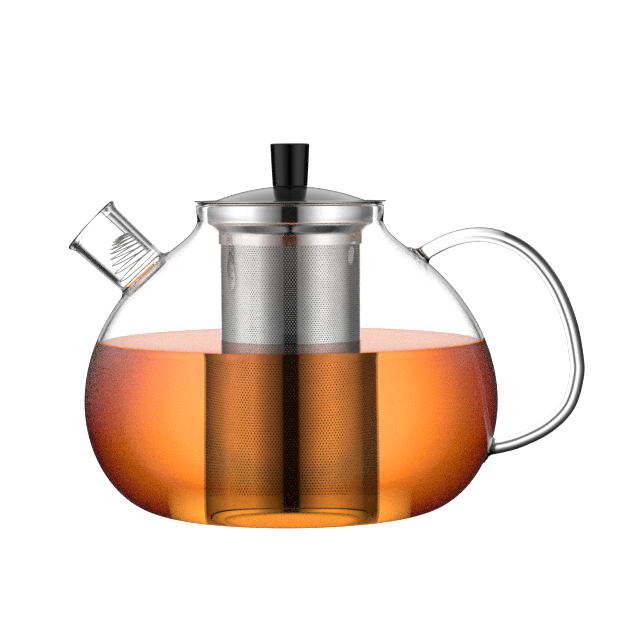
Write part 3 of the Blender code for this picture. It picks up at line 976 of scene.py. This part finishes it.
def build_glass():
    """Bowl, spout and handle in one skin, with the spout's bore open into the bowl."""
    pot = lathe("teapot_glass", glass_outline(), None, BODY_SIDES)
    for _ in (BOWL_REGION, SPOUT_REGION, HANDLE_REGION):
        pot.data.materials.append(None)
    wall_middle = inner_outline(0.5 * WALL)[:-RIM_POINTS_LEFT]
    cavity = [(0.0, wall_middle[0][1])] + wall_middle + [(0.0, wall_middle[-1][1])]
    for branch in (spout_solid(spout_outer(), SPOUT_FOOT_FLARE), handle_solid()):
        combine(branch, lathe("cavity_part", cavity, None, BODY_SIDES), "DIFFERENCE")
        combine(pot, branch, "UNION")
    combine(pot, spout_solid(spout_bore(), 0.0), "DIFFERENCE")
    smooth(pot, 40.0)
    numbers = [polygon.material_index for polygon in pot.data.polygons]
    pot.data.materials.clear()
    for look in (bowl_glass_look(), spout_glass_look(), handle_glass_look(), foot_glass_look()):
        pot.data.materials.append(look)
    pot.data.polygons.foreach_set("material_index", numbers)
    for polygon in pot.data.polygons:
        if polygon.normal.z < -0.99 and polygon.center.z < 0.1 * BASE_THICKNESS:
            polygon.material_index = FOOT_REGION
    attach(pot, "pot")
    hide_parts("glass_body", "spout_tube", "handle")


def build_tea():
    """The tea, level on top and reaching a little way into the glass all round."""
    wall = [point for point in inner_outline(WALL - TEA_OVERLAP) if point[1] < TEA_LEVEL]
    floor = BASE_THICKNESS - TEA_FLOOR_OVERLAP
    wall = [point for point in wall[2:] if point[1] > floor]
    wall = [(wall[0][0] - 0.0030, floor), (wall[0][0] - 0.0008, floor + 0.00002)] + wall
    outline = [(0.0, floor)] + wall + [(wall[-1][0], TEA_LEVEL), (0.0, TEA_LEVEL)]
    tea = lathe("tea", outline, tea_look(), BODY_SIDES)
    tea.data.materials.append(tea_surface_look())
    for polygon in tea.data.polygons:
        if polygon.normal.z > 0.9 and polygon.center.z > TEA_LEVEL - 0.0001:
            polygon.material_index = 1
    tea.visible_glossy = False
    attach(tea, "pot")


def build_infuser():
    under = FLANGE_TOP - SHEET
    corner = 0.0012
    collar_line = [
        (FLANGE_RADIUS, FLANGE_TOP),
        (COLLAR_RADIUS - SHEET + 0.0004, FLANGE_TOP),
        (COLLAR_RADIUS - SHEET, FLANGE_TOP - 0.0005),
        (COLLAR_RADIUS - SHEET, COLLAR_FOOT + 0.0002),
        (COLLAR_RADIUS - SHEET - 0.0006, COLLAR_FOOT - 0.0014),
        (BAND_RADIUS - SHEET + 0.0007, BAND_TOP + 0.0012),
        (BAND_RADIUS - SHEET, BAND_TOP),
        (BAND_RADIUS - SHEET, BAND_FOOT),
        (BAND_RADIUS, BAND_FOOT),
        (BAND_RADIUS, BAND_TOP - 0.0001),
        (BAND_RADIUS + 0.0006, BAND_TOP + 0.0010),
        (COLLAR_RADIUS - 0.0006, COLLAR_FOOT - 0.0016),
        (COLLAR_RADIUS, COLLAR_FOOT),
        (COLLAR_RADIUS, under - corner),
        (COLLAR_RADIUS + 0.3 * corner, under - 0.3 * corner),
        (COLLAR_RADIUS + corner, under),
        (FLANGE_RADIUS, under),
    ]
    collar_look = turned_steel_look("collar_steel", 0.05, tone=0.80)
    collar = lathe("collar", rounded(collar_line, 0.0006), collar_look, STEEL_SIDES, 50.0)
    inner = SLEEVE_RADIUS - SHEET
    sleeve_line = [
        (SLEEVE_RADIUS, SLEEVE_FOOT),
        (SLEEVE_RADIUS, SLEEVE_TOP),
        (inner, SLEEVE_TOP),
        (inner, SLEEVE_FOOT),
    ]
    sleeve = lathe("perforated_sleeve", sleeve_line, perforated_steel_look(), STEEL_SIDES)
    cup_line = [(0.0, BASE_CUP_FOOT)]
    round_steps = 8
    for step in range(round_steps + 1):
        angle = 0.25 * TAU * step / round_steps
        radius = BASE_CUP_RADIUS - BASE_CUP_ROUND + BASE_CUP_ROUND * math.sin(angle)
        height = BASE_CUP_FOOT + BASE_CUP_ROUND - BASE_CUP_ROUND * math.cos(angle)
        cup_line.append((radius, height))
    cup_line += [
        (BASE_CUP_RADIUS, BASE_CUP_TOP),
        (BASE_CUP_RADIUS - SHEET, BASE_CUP_TOP),
        (BASE_CUP_RADIUS - SHEET - 0.0006, BASE_CUP_FOOT + SHEET),
        (0.0, BASE_CUP_FOOT + SHEET),
    ]
    cup_look = turned_steel_look("cup_steel", 0.08, tone=0.85, matt_under=True)
    cup = lathe("base_cup", cup_line, cup_look, STEEL_SIDES)
    for piece, node, slot in (
        (collar, "infuser_collar", "polished_steel"),
        (sleeve, "infuser_sleeve", "perforated_steel"),
        (cup, "infuser_base", "polished_steel"),
    ):
        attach(piece, "infuser")
        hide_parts(node)


def dome_height(radius):
    """Height of the lid's outer face over a radius: a shallow cap that meets the flat rim."""
    fall = DOME_APEX - (LID_RIM_UNDER + SHEET)
    return DOME_APEX - fall * (radius / DOME_RADIUS) ** 2


def build_lid():
    top = LID_RIM_UNDER + SHEET
    seat = dome_height(DOME_SEAT_RADIUS)
    steps = 24
    reach = DOME_RADIUS - DOME_SEAT_RADIUS
    radii = [DOME_SEAT_RADIUS + reach * step / steps for step in range(steps + 1)]
    outer = [(radius, dome_height(radius)) for radius in radii]
    inner = [(radius, height - SHEET) for radius, height in outer]
    inner[-1] = (DOME_RADIUS - 0.0004, LID_RIM_UNDER)
    rim_line = [(LID_RIM_RADIUS, top), (LID_RIM_RADIUS, LID_RIM_UNDER), (DOME_RADIUS, top)]
    rim = rounded(rim_line, 0.0002, 4)[:10]
    dome_line = [(LID_HOLE_RADIUS, seat)] + outer + rim + inner[::-1] + [(LID_HOLE_RADIUS, seat - SHEET)]
    dome = lathe("dome", dome_line, turned_steel_look("lid_steel", 0.10, concentric=True), STEEL_SIDES)
    under = LID_RIM_UNDER - GAP
    skirt_line = [
        (SKIRT_RADIUS, under),
        (SKIRT_RADIUS - SHEET - SKIRT_LIP, under),
        (SKIRT_RADIUS - SHEET - SKIRT_LIP, under - SHEET),
        (SKIRT_RADIUS - SHEET, under - SHEET),
        (SKIRT_RADIUS - SHEET, under - SKIRT_HEIGHT),
        (SKIRT_RADIUS, under - SKIRT_HEIGHT),
    ]
    skirt_look = turned_steel_look("skirt_steel", 0.16)
    skirt = lathe("skirt", rounded(skirt_line, 0.0002), skirt_look, STEEL_SIDES, 50.0)
    foot = seat - 0.00005
    head = seat + GAP + KNOB_HEIGHT
    knob_line = [
        (KNOB_BORE_RADIUS, foot),
        (KNOB_FOOT_RADIUS, foot),
        (KNOB_FOOT_RADIUS + 0.00042, foot + 0.45 * KNOB_HEIGHT),
        (KNOB_TOP_RADIUS, head),
        (0.0, head),
        (0.0, foot + KNOB_BORE_DEPTH),
        (KNOB_BORE_RADIUS, foot + KNOB_BORE_DEPTH),
    ]
    knob = lathe("knob", rounded(knob_line, 0.0007, 6), knob_look(), KNOB_SIDES, 50.0)
    for piece, node, slot in (
        (dome, "lid_dome", "lid_steel"),
        (skirt, "lid_skirt", "lid_steel"),
        (knob, "lid_knob", "knob_plastic"),
    ):
        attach(piece, "lid")
        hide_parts(node)


def build_fastener():
    top = dome_height(DOME_SEAT_RADIUS) - SHEET - GAP
    washer_line = [
        (LID_HOLE_RADIUS, top),
        (LID_HOLE_RADIUS, top - WASHER_THICKNESS),
        (WASHER_RADIUS, top - WASHER_THICKNESS),
        (WASHER_RADIUS, top),
    ]
    look = turned_steel_look("fastener_steel", 0.22, concentric=True)
    washer = lathe("washer", rounded(washer_line, 0.00012), look, KNOB_SIDES, 50.0)
    under_head = top - WASHER_THICKNESS - GAP
    head = under_head - SCREW_HEAD_HEIGHT
    screw_line = [
        (0.0, head),
        (0.75 * SCREW_HEAD_RADIUS, head + 0.0002),
        (SCREW_HEAD_RADIUS, head + 0.0009),
        (SCREW_HEAD_RADIUS, under_head),
        (SCREW_RADIUS, under_head),
        (SCREW_RADIUS, under_head + SCREW_LENGTH - 0.0004),
        (SCREW_RADIUS - 0.0004, under_head + SCREW_LENGTH),
        (0.0, under_head + SCREW_LENGTH),
    ]
    screw = lathe("screw", rounded(screw_line, 0.0003), None, 64, 50.0)
    data = bmesh.new()
    bmesh.ops.create_cube(data, size=1.0)
    for vertex in data.verts:
        vertex.co.x *= 3.0 * SCREW_HEAD_RADIUS
        vertex.co.y *= SCREW_SLOT_WIDTH
        vertex.co.z = head + (SCREW_SLOT_DEPTH if vertex.co.z > 0.0 else -SCREW_SLOT_DEPTH)
    combine(screw, finish_mesh("slot_part", data, None), "DIFFERENCE")
    smooth(screw, 35.0)
    screw.data.materials.clear()
    screw.data.materials.append(look)
    for piece, node in ((washer, "knob_washer"), (screw, "knob_screw")):
        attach(piece, "lid")
        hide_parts(node)


def coil_place(share):
    """The wire's centre at this share of the coil, from the base ring to the tip of the dome."""
    angle = TAU * COIL_TURNS * share
    radius = COIL_RADIUS * (1.0 - (1.0 - COIL_TIP_SHARE) * share**1.35)
    rise = COIL_START + COIL_RISE * (1.0 - (1.0 - share) ** 2.2)
    lean = COIL_LEAN * math.sin(0.5 * math.pi * share) ** 1.6
    tilt = COIL_TILT * math.sin(0.5 * math.pi * min(1.0, share / 0.45))
    sideways = radius * math.cos(angle)
    return spout_point(
        rise - sideways * math.sin(tilt),
        lean + sideways * math.cos(tilt),
        radius * math.sin(angle),
    )


def build_filter():
    count = int(COIL_TURNS * COIL_STEPS_PER_TURN)
    path = [coil_place(step / count) for step in range(count + 1)]
    tip = spout_point(TAIL_TIP_RISE, TAIL_TIP_LEAN, 0.0)
    leave = (path[-1] - path[-2]).normalized()
    bend = path[-1] + leave * 0.0009 + (tip - path[-1]).normalized() * 0.0005
    path += [bend, bend.lerp(tip, 0.06), bend.lerp(tip, 0.12), bend.lerp(tip, 0.5), tip]
    data = bmesh.new()
    rings = []
    side = None
    for index, point in enumerate(path):
        before = path[max(index - 1, 0)]
        after = path[min(index + 1, len(path) - 1)]
        along = (after - before).normalized()
        if side is None:
            side = along.orthogonal().normalized()
        side = (side - along * side.dot(along)).normalized()
        up = along.cross(side)
        ring = []
        for step in range(WIRE_SIDES):
            turn = TAU * step / WIRE_SIDES
            outward = side * math.cos(turn) + up * math.sin(turn)
            ring.append(data.verts.new(point + outward * WIRE_RADIUS))
        rings.append(ring)
    skin(data, rings)
    wire = finish_mesh("coil_strainer", data, wire_look(), 50.0)
    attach(wire, "filter")
    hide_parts("spout_filter")


# ---------------------------------------------------------------- studio


def build_floor():
    """A plain white floor that reflections look straight through, so metal shows only the studio."""
    data = bmesh.new()
    bmesh.ops.create_circle(data, cap_ends=True, segments=96, radius=FLOOR_RADIUS)
    for vertex in data.verts:
        vertex.co.z = -FLOOR_DROP
    mesh = bpy.data.meshes.new("studio_floor")
    data.to_mesh(mesh)
    data.free()
    floor = bpy.data.objects.new("studio_floor", mesh)
    bpy.context.scene.collection.objects.link(floor)
    look = new_material("studio_floor")
    tree = look.node_tree
    glow = add(tree, "Emission", Color=WHITE, Strength=FLOOR_GLOW)
    paint = add(tree, "BsdfDiffuse", Color=(0.2, 0.2, 0.2, 1.0))
    white = add(tree, "AddShader", in_0=glow.outputs[0], in_1=paint.outputs[0])
    mirrored = passed(tree, add(tree, "LightPath"), "Glossy", 1)
    clear = add(tree, "BsdfTransparent")
    show(tree, blend_shaders(tree, mirrored, white.outputs[0], clear.outputs[0]))
    look.cycles.emission_sampling = "NONE"
    mesh.materials.append(look)


def degree_stops(stops, whole):
    """Ramp stops from stops in degrees, which run from minus half of the whole to plus half."""
    return [(at / whole + 0.5, value) for at, value in stops]


def build_world():
    """A white studio, seen plain through glass. Metal and gloss mirror its softboxes, gaps and ceiling."""
    world = bpy.data.worlds.new("studio")
    bpy.context.scene.world = world
    world.use_nodes = True
    tree = world.node_tree
    tree.nodes.clear()
    path = add(tree, "LightPath")
    direction = add(tree, "TexCoord").outputs["Generated"]
    x, y, z = add(tree, "SeparateXYZ", in_0=direction).outputs
    azimuth = calc(tree, "ARCTAN2", x, calc(tree, "MULTIPLY", y, -1.0))
    turned = calc(tree, "ABSOLUTE", azimuth)
    around = calc(tree, "ADD", calc(tree, "DIVIDE", azimuth, TAU), 0.5)
    height = calc(tree, "ADD", calc(tree, "DIVIDE", calc(tree, "ARCSINE", z), 0.5 * TAU), 0.5)
    overhead = spread(tree, height, 0.53, 0.58)
    sides = ramp(tree, around, degree_stops(STUDIO_SIDES, 360.0))
    above = spread(tree, turned, math.radians(10.3), math.radians(12.5), 0.6, 0.9)
    around_top = blend_colors(tree, overhead, sides, above)
    outermost = calc(tree, "SUBTRACT", 1.0, passed(tree, path, "Transmission", 1))
    behind = spread(tree, turned, math.radians(95.0), math.radians(108.0))
    shade = product(tree, outermost, behind, calc(tree, "SUBTRACT", 1.0, overhead))
    shaded = blend_colors(tree, shade, around_top, (0.02, 0.02, 0.02, 1.0))
    levels = ramp(tree, height, degree_stops(STUDIO_LEVELS, 180.0))
    ceiling = ramp(tree, height, ((0.5, 0.0), (0.82, 0.0), (0.86, 0.4), (1.0, 0.4)))
    pattern = blend_colors(tree, 1.0, shaded, levels, "MULTIPLY")
    total = blend_colors(tree, 1.0, pattern, ceiling, "LIGHTEN")
    mirrored = add(tree, "Background", Color=total, Strength=1.0)
    plain = add(tree, "Background", Color=WHITE, Strength=STUDIO_WHITE)
    trapped = passed(tree, path, "Transmission", 8)
    shown = product(tree, passed(tree, path, "Glossy", 1), calc(tree, "SUBTRACT", 1.0, trapped))
    either = blend_shaders(tree, shown, plain.outputs[0], mirrored.outputs[0])
    add(tree, "OutputWorld", Surface=either)
    world.cycles.sampling_method = "NONE"


def build_camera():
    data = bpy.data.cameras.new("camera")
    data.sensor_width = 36.0
    data.lens = CAMERA_LENS
    data.clip_start = 0.01
    data.clip_end = 50.0
    camera = bpy.data.objects.new("camera", data)
    bpy.context.scene.collection.objects.link(camera)
    camera.matrix_world = (
        Matrix.Translation(CAMERA_PLACE)
        @ Matrix.Rotation(0.25 * TAU - CAMERA_TILT, 4, "X")
        @ Matrix.Rotation(CAMERA_ROLL, 4, "Z")
    )
    bpy.context.scene.camera = camera


def settle_light():
    """Plain colours, and enough bounces for light to cross the glass, the tea and the glass again."""
    scene = bpy.context.scene
    scene.view_settings.view_transform = "Standard"
    scene.view_settings.look = "None"
    scene.cycles.max_bounces = 32
    scene.cycles.transmission_bounces = 28
    scene.cycles.glossy_bounces = 8
    scene.cycles.transparent_max_bounces = 32
    scene.cycles.sample_clamp_indirect = 6.0
    scene.cycles.use_denoising = False


build_glass()
build_tea()
build_infuser()
build_lid()
build_fastener()
build_filter()
build_floor()
build_world()
build_camera()
settle_light()
